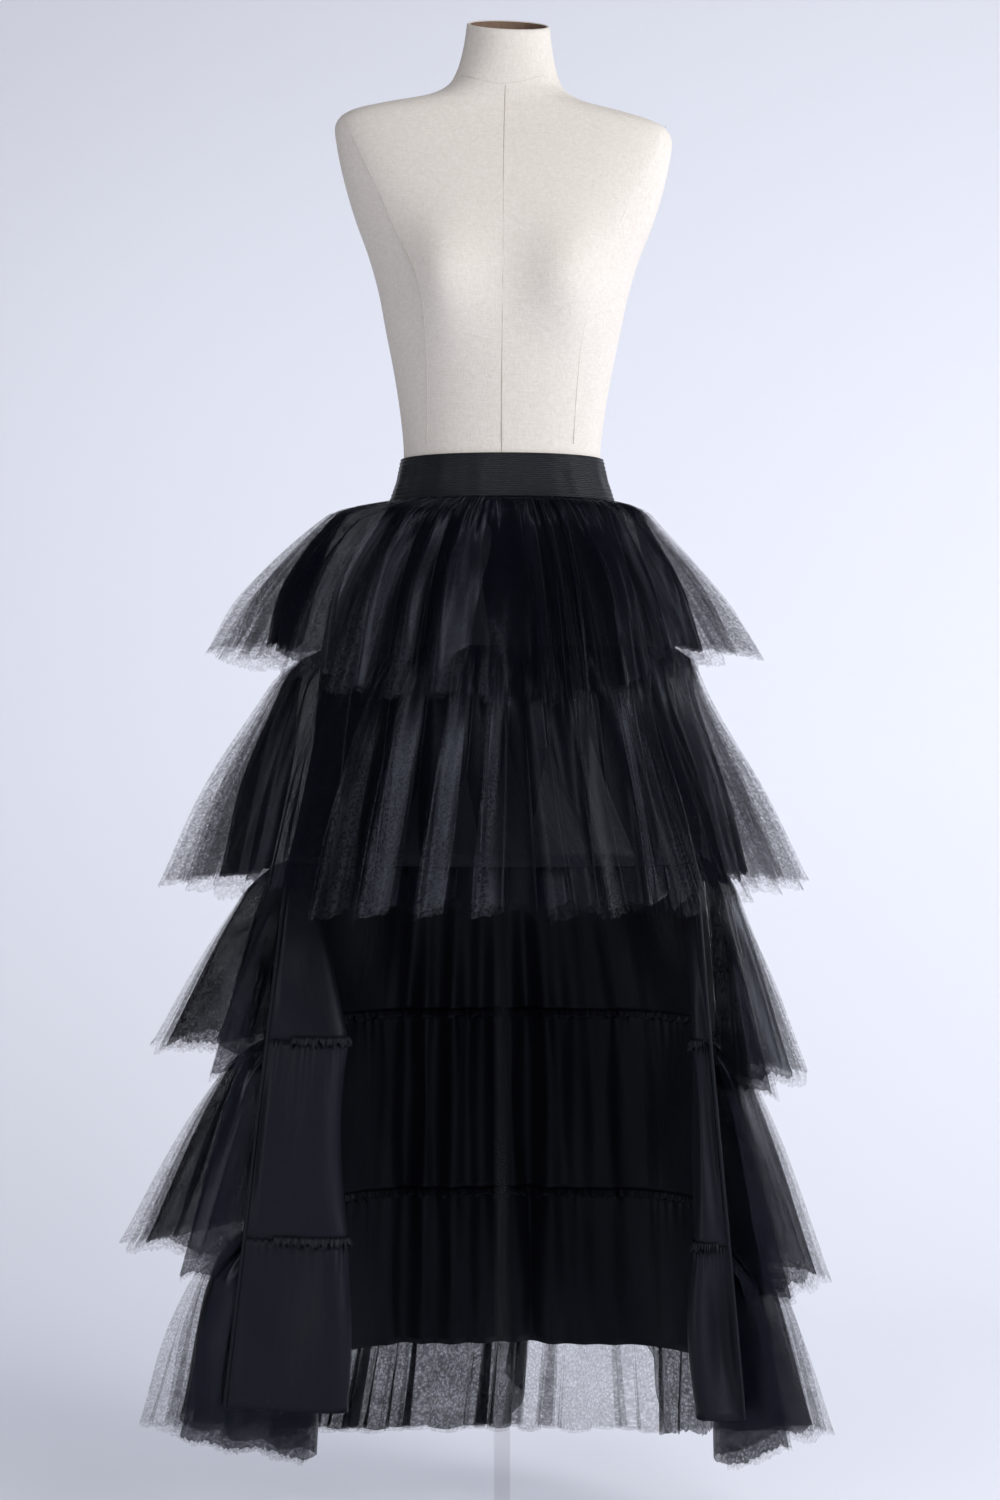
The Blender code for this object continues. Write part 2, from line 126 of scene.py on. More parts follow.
# The satin's seam lines seen from above, from the left front edge round the back to the
# right front edge.
SATIN_LINES = {
    OPENING_TOP: ((-0.227, -0.085), (-0.203, -0.045), (-0.228, 0.060), (-0.135, 0.182),
                  (0.010, 0.206), (0.150, 0.178), (0.222, 0.060), (0.198, -0.062),
                  (0.205, -0.115)),
    ROW_4_SEAM: ((-0.250, -0.080), (-0.165, -0.078), (-0.232, 0.062), (-0.150, 0.215),
                 (0.015, 0.240), (0.185, 0.200), (0.240, 0.052), (0.202, -0.098),
                 (0.219, -0.121)),
    ROW_5_SEAM: ((-0.275, -0.073), (-0.165, -0.084), (-0.240, 0.065), (-0.155, 0.225),
                 (0.018, 0.250), (0.195, 0.215), (0.250, 0.056), (0.204, -0.104),
                 (0.238, -0.122)),
    SATIN_HEM: ((-0.297, -0.066), (-0.165, -0.086), (-0.245, 0.070), (-0.160, 0.230),
                (0.020, 0.255), (0.200, 0.220), (0.258, 0.060), (0.205, -0.108),
                (0.254, -0.122)),
}
FRONT_LINE = ((0.130, -0.180), (0.000, -0.203), (-0.145, -0.165))
BACK_START, BACK_END = 3, 5
BACK_WAVE, BACK_UNEVEN = 0.007, 0.006

# The closed tiers, a row for each ring under the seam: height at the sides, at the front,
# at the back; reach to the left, right, front, back.
RING_TIERS = {
    "tulle_tier_1": (
        (1.176, 1.165, 1.167, 0.186, 0.156, 0.106, 0.116),
        (1.105, 1.085, 1.090, 0.262, 0.216, 0.172, 0.188),
        (1.030, 0.966, 0.985, 0.312, 0.270, 0.235, 0.255),
    ),
    "tulle_tier_2": (
        (0.986, 0.975, 0.980, 0.248, 0.216, 0.184, 0.200),
        (0.778, 0.750, 0.762, 0.352, 0.322, 0.268, 0.292),
    ),
}

# The open tiers: seam, then the line where the net springs out, then its hem, each as the
# nine places x, y, z.
OPEN_TIERS = {
    "tulle_tier_3": (OPENING_TOP, (
        ((-0.262, -0.066, 0.757), (-0.222, -0.024, 0.757), (-0.290, 0.070, 0.757),
         (-0.180, 0.228, 0.757), (0.010, 0.258, 0.757), (0.190, 0.220, 0.757),
         (0.262, 0.060, 0.757), (0.226, -0.042, 0.757), (0.238, -0.100, 0.757)),
        ((-0.318, -0.060, 0.566), (-0.234, -0.032, 0.572), (-0.388, 0.030, 0.592),
         (-0.250, 0.270, 0.575), (0.000, 0.335, 0.570), (0.252, 0.272, 0.565),
         (0.334, 0.015, 0.557), (0.244, -0.056, 0.552), (0.292, -0.100, 0.550)),
    )),
    "tulle_tier_4": (ROW_4_SEAM, (
        ((-0.290, -0.062, 0.560), (-0.196, -0.040, 0.560), (-0.314, 0.080, 0.560),
         (-0.190, 0.254, 0.560), (0.015, 0.286, 0.560), (0.215, 0.240, 0.560),
         (0.276, 0.062, 0.560), (0.226, -0.070, 0.560), (0.250, -0.106, 0.560)),
        ((-0.348, -0.048, 0.344), (-0.234, -0.032, 0.352), (-0.420, 0.030, 0.370),
         (-0.270, 0.290, 0.360), (0.000, 0.355, 0.355), (0.268, 0.292, 0.350),
         (0.358, 0.018, 0.334), (0.252, -0.062, 0.326), (0.314, -0.102, 0.330)),
    )),
    "tulle_tier_5": (ROW_5_SEAM, (
        ((-0.310, -0.062, 0.345), (-0.196, -0.048, 0.345), (-0.332, 0.080, 0.345),
         (-0.195, 0.264, 0.345), (0.018, 0.294, 0.345), (0.230, 0.252, 0.345),
         (0.300, 0.062, 0.345), (0.228, -0.074, 0.345), (0.272, -0.106, 0.345)),
        ((-0.350, -0.046, 0.170), (-0.216, -0.032, 0.144), (-0.394, 0.040, 0.168),
         (-0.255, 0.275, 0.102), (0.000, 0.325, 0.092), (0.260, 0.280, 0.100),
         (0.364, 0.025, 0.164), (0.246, -0.066, 0.152), (0.308, -0.102, 0.172)),
    )),
}

# The layers of net in each tier, from the outside in: how far the hem stands in from the
# tier's outline, how much shorter the layer is, and how much light it stops at its thinnest
# and thickest places.
NET_LAYERS = (
    ("outer", 0.000, 0.000, 0.08, 0.17),
    ("middle", 0.030, 0.005, 0.10, 0.22),
    ("inner", 0.068, 0.009, 0.56, 0.80),
)

# How much the inner layer of the last tier is cut shorter behind the satin's hem, and the
# extra depth and sideways lean of the finer folds at that back.
BACK_CUT = 0.115
BACK_FOLD_DEPTH, BACK_FOLD_LEAN = 0.006, 0.009

# What all tiers share: the puffed gathers at the seam, the hem's wave and fray, the dents and
# swells of the net, and how deep the folds are on the fronts of an open tier.
GATHER_DEPTH = 0.0042
HEM_WAVE, HEM_FRAY = 0.0035, 0.0020
DENT, SWELL, RIPPLE = 0.0008, 0.005, 0.0003
FOLD_LEAN = 0.55
FRONT_FOLD_SHARE = 0.22

# Each tier's net: folds round it, depth of the folds at the hem, columns and rows of the
# mesh, and the width and drop that each layer was cut to.
NET_MAKE = {
    "tulle_tier_1": {"folds": 27, "depth": 0.021, "columns": 860, "rows": 26, "cut": (1.85, 0.24)},
    "tulle_tier_2": {"folds": 29, "depth": 0.022, "columns": 900, "rows": 27, "cut": (2.25, 0.29)},
    "tulle_tier_3": {"folds": 26, "depth": 0.018, "columns": 840, "rows": 25, "cut": (1.80, 0.25)},
    "tulle_tier_4": {"folds": 28, "depth": 0.019, "columns": 860, "rows": 26, "cut": (1.90, 0.275)},
    "tulle_tier_5": {"folds": 28, "depth": 0.018, "columns": 860, "rows": 26, "cut": (2.10, 0.30)},
}


# ---------------------------------------------------------------- lines and waves
def smooth_step(value):
    value = np.clip(value, 0.0, 1.0)
    return value * value * (3 - 2 * value)


def smooth_line(places, at, closed=False):
    """Points of the smooth line through the places, at positions counted in places."""
    places = np.array(places, float)
    count = len(places)
    at = np.asarray(at, float)
    index = np.floor(at).astype(int)
    if not closed:
        index = np.clip(index, 0, count - 2)
    t = (at - index)[:, None]

    def place(shift):
        wanted = index + shift
        return places[wanted % count] if closed else places[np.clip(wanted, 0, count - 1)]

    before, start, end, after = (place(shift) for shift in (-1, 0, 1, 2))
    return 0.5 * (2 * start + (end - before) * t
                  + (2 * before - 5 * start + 4 * end - after) * t ** 2
                  + (3 * start - before - 3 * end + after) * t ** 3)


def run_length(line, closed=False):
    """Length along a line up to each point, and the whole length."""
    ends = np.vstack([line, line[:1]]) if closed else line
    steps = np.linalg.norm(np.diff(ends[:, :2], axis=0), axis=1)
    lengths = np.concatenate([[0.0], np.cumsum(steps)])
    return (lengths[:-1] if closed else lengths), lengths[-1]


def outward(line, closed=False):
    """The level direction out of the skirt at each point of a line, and the one along it."""
    if closed:
        along = np.roll(line, -1, axis=0) - np.roll(line, 1, axis=0)
    else:
        along = np.gradient(line, axis=0)
    along = along[:, :2]
    along = along / np.maximum(np.linalg.norm(along, axis=1, keepdims=True), 1e-9)
    return np.column_stack([-along[:, 1], along[:, 0]]), along


def uneven(place, low, high, seed, terms=7):
    """An uneven wave round the skirt, about -1 to 1, with low to high swings in the round."""
    random = np.random.default_rng(seed)
    total = np.zeros_like(place)
    for _ in range(terms):
        swings = random.integers(low, high + 1)
        total = total + np.cos(TURN * (swings * place + random.random()))
    return total / math.sqrt(terms)


def crumple(place, drop, low, high, down, seed, terms=9):
    """Uneven dents over a sheet, about -1 to 1, in both directions."""
    random = np.random.default_rng(seed)
    total = np.zeros((len(drop), len(place)))
    for _ in range(terms):
        swings = random.integers(low, high + 1)
        fall = random.uniform(-down, down)
        total += np.cos(TURN * (swings * place[None, :] + fall * drop[:, None] + random.random()))
    return total / math.sqrt(terms)


def through_lines(lines, drops):
    """Sheets of points through whole lines, listed from the top down, at each drop."""
    steps = [np.linalg.norm(lower - upper, axis=1).mean() for upper, lower in zip(lines, lines[1:])]
    at = np.concatenate([[0.0], np.cumsum(steps)]) / sum(steps)
    last = len(lines) - 1
    slopes = [(lines[1] - lines[0]) / (at[1] - at[0])]
    for index in range(1, last):
        slopes.append((lines[index + 1] - lines[index - 1]) / (at[index + 1] - at[index - 1]))
    slopes.append((lines[last] - lines[last - 1]) / (at[last] - at[last - 1]))
    rows = []
    for drop in drops:
        index = min(int(np.searchsorted(at, drop, side="right")) - 1, last - 1)
        span = at[index + 1] - at[index]
        t = (drop - at[index]) / span
        rows.append((2 * t ** 3 - 3 * t ** 2 + 1) * lines[index]
                    + (t ** 3 - 2 * t ** 2 + t) * span * slopes[index]
                    + (3 * t ** 2 - 2 * t ** 3) * lines[index + 1]
                    + (t ** 3 - t ** 2) * span * slopes[index + 1])
    return np.array(rows)


def oval(angle, left, right, front, back, square=2.1):
    """Points of a rounded oval whose four reaches differ."""
    cosine, sine = np.cos(angle), np.sin(angle)
    x = np.sign(cosine) * np.abs(cosine) ** (2 / square)
    y = np.sign(sine) * np.abs(sine) ** (2 / square)
    return x * np.where(x > 0, right, left), y * np.where(y > 0, back, front)


# ---------------------------------------------------------------- meshes
def new_mesh(name, points, faces, uv=None):
    mesh = bpy.data.meshes.new(name)
    mesh.from_pydata([tuple(point) for point in points], [], faces)
    if uv is not None:
        layer = mesh.uv_layers.new(name="cloth")
        corners = np.zeros(len(mesh.loops), int)
        mesh.loops.foreach_get("vertex_index", corners)
        layer.data.foreach_set("uv", np.asarray(uv, np.float32)[corners].ravel())
    mesh.shade_smooth()
    piece = bpy.data.objects.new(name, mesh)
    bpy.context.scene.collection.objects.link(piece)
    return piece


def grid_faces(rows, columns, closed):
    faces = []
    for row in range(rows - 1):
        for column in range(columns if closed else columns - 1):
            beside = (column + 1) % columns
            faces.append((row * columns + column, row * columns + beside,
                          (row + 1) * columns + beside, (row + 1) * columns + column))
    return faces


def cloth(name, grid, closed, wall=0.0):
    """A sheet through rows of points, from the top down, with its run and drop as its map."""
    rows, columns = grid.shape[:2]
    widest = np.linalg.norm(np.diff(grid[rows // 2], axis=0), axis=1)
    run = np.concatenate([[0.0], np.cumsum(widest)])
    fall = np.linalg.norm(np.diff(grid, axis=0), axis=2).mean(axis=1)
    down = np.concatenate([[0.0], np.cumsum(fall)])
    uv = np.stack(np.meshgrid(run, -down), axis=-1).reshape(-1, 2)
    piece = new_mesh(name, grid.reshape(-1, 3), grid_faces(rows, columns, closed), uv)
    if wall:
        shell = piece.modifiers.new("wall", "SOLIDIFY")
        shell.thickness = wall
        shell.offset = 1.0
        apply_all(piece)
    return piece


def apply_all(piece):
    bpy.ops.object.select_all(action="DESELECT")
    piece.select_set(True)
    bpy.context.view_layer.objects.active = piece
    for modifier in list(piece.modifiers):
        bpy.ops.object.modifier_apply(modifier=modifier.name)


def tube(name, route, radius, sides=2):
    """A round cord of cloth along a route, as a mesh."""
    curve = bpy.data.curves.new(name, "CURVE")
    curve.dimensions = "3D"
    curve.bevel_depth = radius
    curve.bevel_resolution = sides
    curve.use_fill_caps = True
    spline = curve.splines.new("POLY")
    spline.points.add(len(route) - 1)
    for point, place in zip(spline.points, route):
        point.co = (*place, 1.0)
    holder = bpy.data.objects.new(name + "_route", curve)
    bpy.context.scene.collection.objects.link(holder)
    bpy.context.view_layer.update()
    mesh = bpy.data.meshes.new_from_object(holder.evaluated_get(bpy.context.evaluated_depsgraph_get()))
    bpy.data.objects.remove(holder)
    mesh.name = name
    mesh.shade_smooth()
    piece = bpy.data.objects.new(name, mesh)
    bpy.context.scene.collection.objects.link(piece)
    return piece


def settle(piece, material, slot_name, *nodes):
    """Gives a piece its finish and its body, and hides the solids that it stands for."""
    piece.data.materials.clear()
    piece.data.materials.append(material)
    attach(piece, "root")
    if nodes:
        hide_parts(*nodes)
    return piece


# ---------------------------------------------------------------- materials
class Finish:
    """A material with one Principled shader and short calls for its pattern nodes."""

    def __init__(self, name, colour, roughness, **sockets):
        self.material = bpy.data.materials.new(name)
        self.material.use_nodes = True
        self.nodes = self.material.node_tree.nodes
        self.links = self.material.node_tree.links
        self.shader = self.nodes["Principled BSDF"]
        self.shader.inputs["Base Color"].default_value = (*colour, 1.0)
        self.shader.inputs["Roughness"].default_value = roughness
        for socket, value in sockets.items():
            self.shader.inputs[socket.replace("_", " ")].default_value = value
        self.place = self.nodes.new("ShaderNodeTexCoord")

    def stretched(self, space, scale):
        mapping = self.nodes.new("ShaderNodeMapping")
        mapping.inputs["Scale"].default_value = scale
        self.links.new(self.place.outputs[space], mapping.inputs["Vector"])
        return mapping.outputs["Vector"]

    def noise(self, vector, scale, detail=2.0, roughness=0.5):
        node = self.nodes.new("ShaderNodeTexNoise")
        node.inputs["Scale"].default_value = scale
        node.inputs["Detail"].default_value = detail
        node.inputs["Roughness"].default_value = roughness
        self.links.new(vector, node.inputs["Vector"])
        return node.outputs["Fac"]

    def bands(self, vector, scale, direction, distortion=0.0):
        node = self.nodes.new("ShaderNodeTexWave")
        node.bands_direction = direction
        node.inputs["Scale"].default_value = scale
        node.inputs["Distortion"].default_value = distortion
        self.links.new(vector, node.inputs["Vector"])
        return node.outputs["Fac"]

    def cells(self, vector, scale):
        node = self.nodes.new("ShaderNodeTexVoronoi")
        node.inputs["Scale"].default_value = scale
        self.links.new(vector, node.inputs["Vector"])
        return node.outputs["Distance"]

    def ranged(self, value, low, high, start=0.0, end=1.0):
        node = self.nodes.new("ShaderNodeMapRange")
        node.inputs["From Min"].default_value = start
        node.inputs["From Max"].default_value = end
        node.inputs["To Min"].default_value = low
        node.inputs["To Max"].default_value = high
        self.links.new(value, node.inputs["Value"])
        return node.outputs["Result"]

    def reckon(self, operation, first, second):
        node = self.nodes.new("ShaderNodeMath")
        node.operation = operation
        for socket, value in zip(node.inputs, (first, second)):
            if isinstance(value, (int, float)):
                socket.default_value = value
            else:
                self.links.new(value, socket)
        return node.outputs["Value"]

    def blend(self, fac, low, high):
        """Colour from low to high with a value."""
        node = self.nodes.new("ShaderNodeMix")
        node.data_type = "RGBA"
        node.inputs["A"].default_value = (*low, 1.0)
        node.inputs["B"].default_value = (*high, 1.0)
        self.links.new(fac, node.inputs["Factor"])
        return node.outputs["Result"]

    def feed(self, socket, value):
        self.links.new(value, self.shader.inputs[socket])

    def relief(self, height, strength, distance):
        node = self.nodes.new("ShaderNodeBump")
        node.inputs["Strength"].default_value = strength
        node.inputs["Distance"].default_value = distance
        self.links.new(height, node.inputs["Height"])
        self.links.new(node.outputs["Normal"], self.shader.inputs["Normal"])


def tulle_finish(name, thin, thick):
    """Net that lets most light through, or several close layers of it."""
    finish = Finish(name, (0.0018, 0.0022, 0.0060), 0.34, Sheen_Weight=0.012,
                    Sheen_Roughness=0.40, Sheen_Tint=(0.50, 0.54, 0.76, 1.0),
                    Specular_IOR_Level=0.21, Specular_Tint=(0.72, 0.79, 1.0, 1.0))
    clouds = finish.noise(finish.stretched("UV", (1.0, 1.0, 1.0)), 34.0, 5.0, 0.68)
    holes = finish.cells(finish.stretched("UV", (1.0, 0.8, 1.0)), 430.0)
    cover = finish.ranged(clouds, thin, thick, 0.3, 0.7)
    cover = finish.reckon("ADD", cover, finish.ranged(holes, -0.13, 0.13, 0.1, 0.7))
    finish.feed("Alpha", cover)
    return finish.material


def satin_finish():
    finish = Finish("black satin", (0.0080, 0.0085, 0.0130), 0.45, Sheen_Weight=0.03,
                    Sheen_Roughness=0.35, Sheen_Tint=(0.55, 0.60, 0.78, 1.0),
                    Specular_IOR_Level=0.15, Specular_Tint=(0.80, 0.86, 1.0, 1.0))
    cloth_map = finish.stretched("UV", (1.0, 1.0, 1.0))
    clouds = finish.noise(cloth_map, 18.0, 4.0, 0.6)
    finish.feed("Roughness", finish.ranged(clouds, 0.38, 0.50, 0.3, 0.7))
    weave = finish.bands(cloth_map, 380.0, "DIAGONAL", 0.4)
    crease = finish.noise(finish.stretched("UV", (1.0, 0.25, 1.0)), 70.0, 3.0, 0.55)
    height = finish.reckon("ADD", finish.ranged(weave, 0.0, 0.08), crease)
    finish.relief(height, 0.5, 0.0022)
    return finish.material


def elastic_finish():
    finish = Finish("charcoal elastic", (0.012, 0.013, 0.018), 0.34, Sheen_Weight=0.03,
                    Specular_IOR_Level=0.22,
                    Sheen_Roughness=0.4, Sheen_Tint=(0.7, 0.72, 0.8, 1.0))
    ribs = finish.bands(finish.stretched("UV", (1.0, 1.0, 1.0)), 150.0, "Y", 0.3)
    threads = finish.bands(finish.stretched("UV", (1.0, 1.0, 1.0)), 420.0, "X", 0.8)
    clouds = finish.noise(finish.stretched("UV", (1.0, 0.2, 1.0)), 60.0, 4.0, 0.6)
    # The base colour is darker where the rib bands are low, in the grooves between the ribs: painted
    # shade in the grooves, mixed with uneven random tone from the clouds.
    shade = finish.reckon("MULTIPLY", ribs, finish.ranged(clouds, 0.55, 1.0, 0.3, 0.7))
    finish.feed("Base Color", finish.blend(shade, (0.0035, 0.0040, 0.0065), (0.017, 0.019, 0.027)))
    height = finish.reckon("ADD", ribs, finish.ranged(threads, 0.0, 0.35))
    finish.relief(height, 0.7, 0.0006)
    return finish.material


def linen_finish():
    finish = Finish("cream linen", (0.72, 0.685, 0.64), 0.92, Sheen_Weight=0.15,
                    Sheen_Roughness=0.6)
    body = finish.stretched("Object", (1.0, 1.0, 1.0))
    warp = finish.noise(finish.stretched("Object", (900.0, 900.0, 110.0)), 1.0, 2.0, 0.6)
    weft = finish.noise(finish.stretched("Object", (110.0, 110.0, 1000.0)), 1.0, 2.0, 0.6)
    threads = finish.reckon("ADD", warp, weft)
    slubs = finish.noise(body, 240.0, 4.0, 0.7)
    shade = finish.reckon("ADD", finish.ranged(threads, 0.0, 0.6, 0.6, 1.4),
                          finish.ranged(slubs, 0.0, 0.4, 0.3, 0.7))
    finish.feed("Base Color", finish.blend(shade, (0.62, 0.575, 0.535), (0.80, 0.765, 0.735)))
    finish.relief(threads, 0.45, 0.0008)
    return finish.material


def neck_finish():
    finish = Finish("brown board", (0.16, 0.10, 0.065), 0.8)
    grain = finish.noise(finish.stretched("Object", (60.0, 60.0, 8.0)), 3.0, 4.0, 0.6)
    finish.feed("Base Color", finish.blend(grain, (0.10, 0.06, 0.038), (0.24, 0.16, 0.11)))
    return finish.material


def seam_finish():
    finish = Finish("linen seam", (0.60, 0.565, 0.52), 0.9)
    fibre = finish.noise(finish.stretched("Object", (400.0, 400.0, 90.0)), 1.0, 3.0, 0.6)
    finish.feed("Base Color", finish.blend(fibre, (0.48, 0.445, 0.405), (0.70, 0.665, 0.62)))
    return finish.material


def acrylic_finish():
    finish = Finish("clear acrylic", (0.03, 0.032, 0.035), 0.05, Alpha=0.10,
                    Specular_IOR_Level=0.25)
    scuffs = finish.noise(finish.stretched("Object", (1.0, 1.0, 0.2)), 120.0, 3.0, 0.6)
    finish.feed("Roughness", finish.ranged(scuffs, 0.02, 0.07, 0.4, 0.7))
    return finish.material


def wood_finish():
    finish = Finish("beech board", (0.42, 0.29, 0.17), 0.5)
    grain = finish.noise(finish.stretched("Object", (6.0, 60.0, 60.0)), 2.0, 5.0, 0.6)
    finish.feed("Base Color", finish.blend(grain, (0.30, 0.19, 0.10), (0.55, 0.40, 0.25)))
    finish.relief(grain, 0.2, 0.0005)
    return finish.material


def steel_finish():
    finish = Finish("black steel", (0.022, 0.022, 0.025), 0.42, Metallic=0.6)
    speck = finish.noise(finish.stretched("Object", (1.0, 1.0, 1.0)), 900.0, 2.0, 0.5)
    finish.feed("Roughness", finish.ranged(speck, 0.36, 0.52, 0.3, 0.7))
    finish.relief(speck, 0.15, 0.0002)
    return finish.material


# ---------------------------------------------------------------- the dress form
def section_at(z):
    """The dress form's section at a height, between those of the table."""
    table = np.array(FORM_SECTIONS)
    return np.array([np.interp(z, table[::-1, 0], table[::-1, column]) for column in range(6)])


def form_points(section, angles, out=0.0):
    z, lean, half, front, back, square = section
    x, y = oval(angles, half + out, half + out, front + out, back + out, square)
    bust = np.exp(-((np.abs(x) - BUST_ACROSS) / BUST_WIDTH) ** 2
                  - ((z - BUST_HEIGHT) / BUST_REACH) ** 2)
    y = y - np.where(y < 0, BUST_RISE * bust, 0.0)
    slant = SHOULDER_SLANT * smooth_step((z - 1.30) / 0.30)
    tilt = NECK_TILT * smooth_step((z - 1.650) / 0.060)
    return np.column_stack([x + lean, y, z - slant * x + tilt * y])


def form_front(x, z, out=0.0):
    """The point of the form's front at a distance from the middle and a height."""
    slant = SHOULDER_SLANT * smooth_step((z - 1.30) / 0.30)
    level = z + slant * x
    section = section_at(level)
    half, front, square = section[2], section[3], section[5]
    share = min(abs(x - section[1]) / (half + out), 0.9999)
    y = -(front + out) * (1 - share ** square) ** (1 / square)
    bust = np.exp(-((abs(x) - BUST_ACROSS) / BUST_WIDTH) ** 2
                  - ((level - BUST_HEIGHT) / BUST_REACH) ** 2)
    tilt = NECK_TILT * smooth_step((level - 1.650) / 0.060)
    y -= BUST_RISE * bust
    return Vector((x, y, z + tilt * y))


def make_form(linen, brown, seam):
    angles = np.pi - TURN * np.arange(FORM_COLUMNS) / FORM_COLUMNS
    table = np.array(FORM_SECTIONS)
    at = np.linspace(0, len(table) - 1, FORM_RINGS)
    sections = smooth_line(table, at)
    rings = []
    for z, shrink in ((1.674, 0.0045), (1.682, 0.0040), (1.700, NECK_WALL)):
        section = section_at(z)
        rings.append(form_points(section, angles, -shrink))
    rings.append(form_points(sections[0], angles, -NECK_WALL + 0.0002))
    rings.append(form_points(sections[0], angles, -NECK_WALL / 2) + np.array((0, 0, 0.0009)))
    for section in sections:
        ring = form_points(section, angles)
        for side, seam_line in ((-1, LEFT_SEAM), (1, RIGHT_SEAM)):
            heights, reaches = np.array(seam_line)[::-1].T
            past = side * (ring[:, 0] - np.interp(ring[:, 2], heights, reaches))
            under = smooth_step((ring[:, 2] - 1.24) / 0.15) * smooth_step((1.63 - ring[:, 2]) / 0.03)
            sunk = PANEL_SINK * smooth_step(past / 0.006) * smooth_step((0.035 - past) / 0.02)
            ring[:, 1] += np.where(ring[:, 1] < -0.01, sunk * under, 0.0)
        rings.append(ring)
    grid = np.array(rings)
    faces = grid_faces(len(rings), FORM_COLUMNS, True)
    last = (len(rings) - 1) * FORM_COLUMNS
    faces.append(tuple(reversed(range(FORM_COLUMNS))))
    faces.append(tuple(range(last, last + FORM_COLUMNS)))
    form = new_mesh("dress_form_torso", grid.reshape(-1, 3), faces)
    settle(form, linen, "linen", "form_torso")
    form.data.materials.append(brown)
    inner = 3 * FORM_COLUMNS
    for face in form.data.polygons:
        if face.index < inner or face.index == len(faces) - 2:
            face.material_index = 1
    for name, line, radius, sink in (("left", LEFT_SEAM, 0.0006, 0.0002),
                                     ("right", RIGHT_SEAM, 0.0004, 0.0002),
                                     ("neck", NECK_SEAM, 0.0003, 0.0001),
                                     ("middle", MIDDLE_SEAM, 0.0007, 0.0001)):
        at = np.linspace(0, len(line) - 1, 60)
        route = [form_front(x, z, -sink) for z, x in smooth_line(line, at)]
        piece = tube(f"form_seam_{name}", route, radius, 1)
        settle(piece, seam, "linen")


# ---------------------------------------------------------------- the waistband and satin
def make_waistband(elastic):
    columns, rows = 320, 22
    angles = np.pi - TURN * np.arange(columns) / columns
    place = np.arange(columns) / columns
    top = BAND_HIGH - 0.0008
    grid = []
    for drop in np.linspace(0, 1, rows):
        z = top + (BAND_BOTTOM - top) * drop
        ring = form_points(section_at(z), angles, BAND_ROOM)
        out, _ = outward(ring, True)
        rib = BAND_RIB * math.cos(TURN * BAND_RIBS * drop)
        wrinkle = BAND_WRINKLE * uneven(place, 8, 34, 5) * math.sin(math.pi * drop)
        ring[:, :2] += out * (rib + wrinkle + 0.0007)[:, None]
        grid.append(ring)
    band = cloth("waistband_elastic", np.array(grid), True, BAND_WALL - BAND_ROOM)
    settle(band, elastic, "black_elastic", "waistband")


def satin_line(z, at):
    """The satin's line at a seam of the open part, with the soft folds of its back."""
    line = smooth_line(SATIN_LINES[z], at)
    grown = float(smooth_step((OPENING_TOP - z) / 0.19))
    share = smooth_step((at - BACK_START) / 0.5) * smooth_step((BACK_END - at) / 0.5)
    out, _ = outward(line)
    shift = BACK_WAVE * np.sin(TURN * 2.5 * (at - BACK_START) / 2)
    shift = (shift + BACK_UNEVEN * uneven(at / 8, 16, 40, 41)) * share * grown
    line[:, :2] = line[:, :2] + out * shift[:, None]
    return line


def gathers(place, drop, folds, depth, seed):
    """Fine folds that start full at the seam and die out down the cloth."""
    strength = np.exp(-drop * 11.0)[:, None]
    phase = folds * place + 0.35 * uneven(place, 8, 30, seed)
    size = 0.65 + 0.35 * uneven(place, 10, 60, seed + 1)
    return strength * (depth * size * np.cos(TURN * phase))[None, :]


def make_satin(satin):
    columns, rows = 560, 24
    at = np.linspace(0, 8, columns)
    drops = np.linspace(0, 1, rows)
    cuts = ((1.10, 0.19), (1.27, 0.214), (1.33, 0.184))
    place = at / 8
    edge = smooth_step(place / 0.02) * smooth_step((1 - place) / 0.02)
    bindings = make_bindings(satin)
    for number, top, bottom, cut in zip((3, 4, 5), SATIN_SEAMS, SATIN_SEAMS[1:], cuts):
        upper = np.column_stack([satin_line(top, at), np.full(columns, top - SHELL_GAP)])
        lower = np.column_stack([satin_line(bottom, at), np.full(columns, bottom)])
        grid = through_lines([upper, lower], drops)
        folds = gathers(place, drops, 88, 0.0015, 60 + number)
        soft = 0.0060 * crumple(place, drops, 3, 13, 0.4, 80 + number)
        belly = np.sin(np.pi * drops)
        for row, ring in enumerate(grid):
            out, _ = outward(ring)
            ring[:, :2] += out * ((folds[row] + soft[row] * belly[row]) * edge)[:, None]
        if number == 5:
            grid[-3:-1, :, :2] += outward(grid[-1])[0][None] * 0.0007
        piece = cloth(f"satin_row_{number}_cloth", grid, False, SATIN_WALL)
        settle(piece, satin, "black_satin", f"satin_row_{number}")
        bound = bindings if number == 4 else []
        if number < 5:
            bound = bound + [make_allowance(satin, number, bottom)]
    make_upper_satin(satin)


def upper_grid(columns, rows):
    """The closed upper satin, from the waist down to the top of the opening."""
    at = np.linspace(0, 13, columns, endpoint=False)
    degrees = np.array(PLACE_ANGLES + (PLACE_ANGLES[0] - 360,))
    angles = np.radians(np.interp(at, np.arange(14), degrees))
    waist = form_points(section_at(BAND_BOTTOM), angles, 0.0012)
    waist[:, 2] = BAND_BOTTOM - 0.0012
    lines = [waist]
    for z, left, right, front, back in UPPER_RINGS:
        x, y = oval(angles, left, right, front, back)
        lines.append(np.column_stack([x, y, np.full(columns, z)]))
    places = SATIN_LINES[OPENING_TOP] + FRONT_LINE
    opening = smooth_line(places, at * 12 / 13, closed=True)
    lines.append(np.column_stack([opening, np.full(columns, OPENING_TOP)]))
    return through_lines(lines, np.linspace(0, 1, rows))


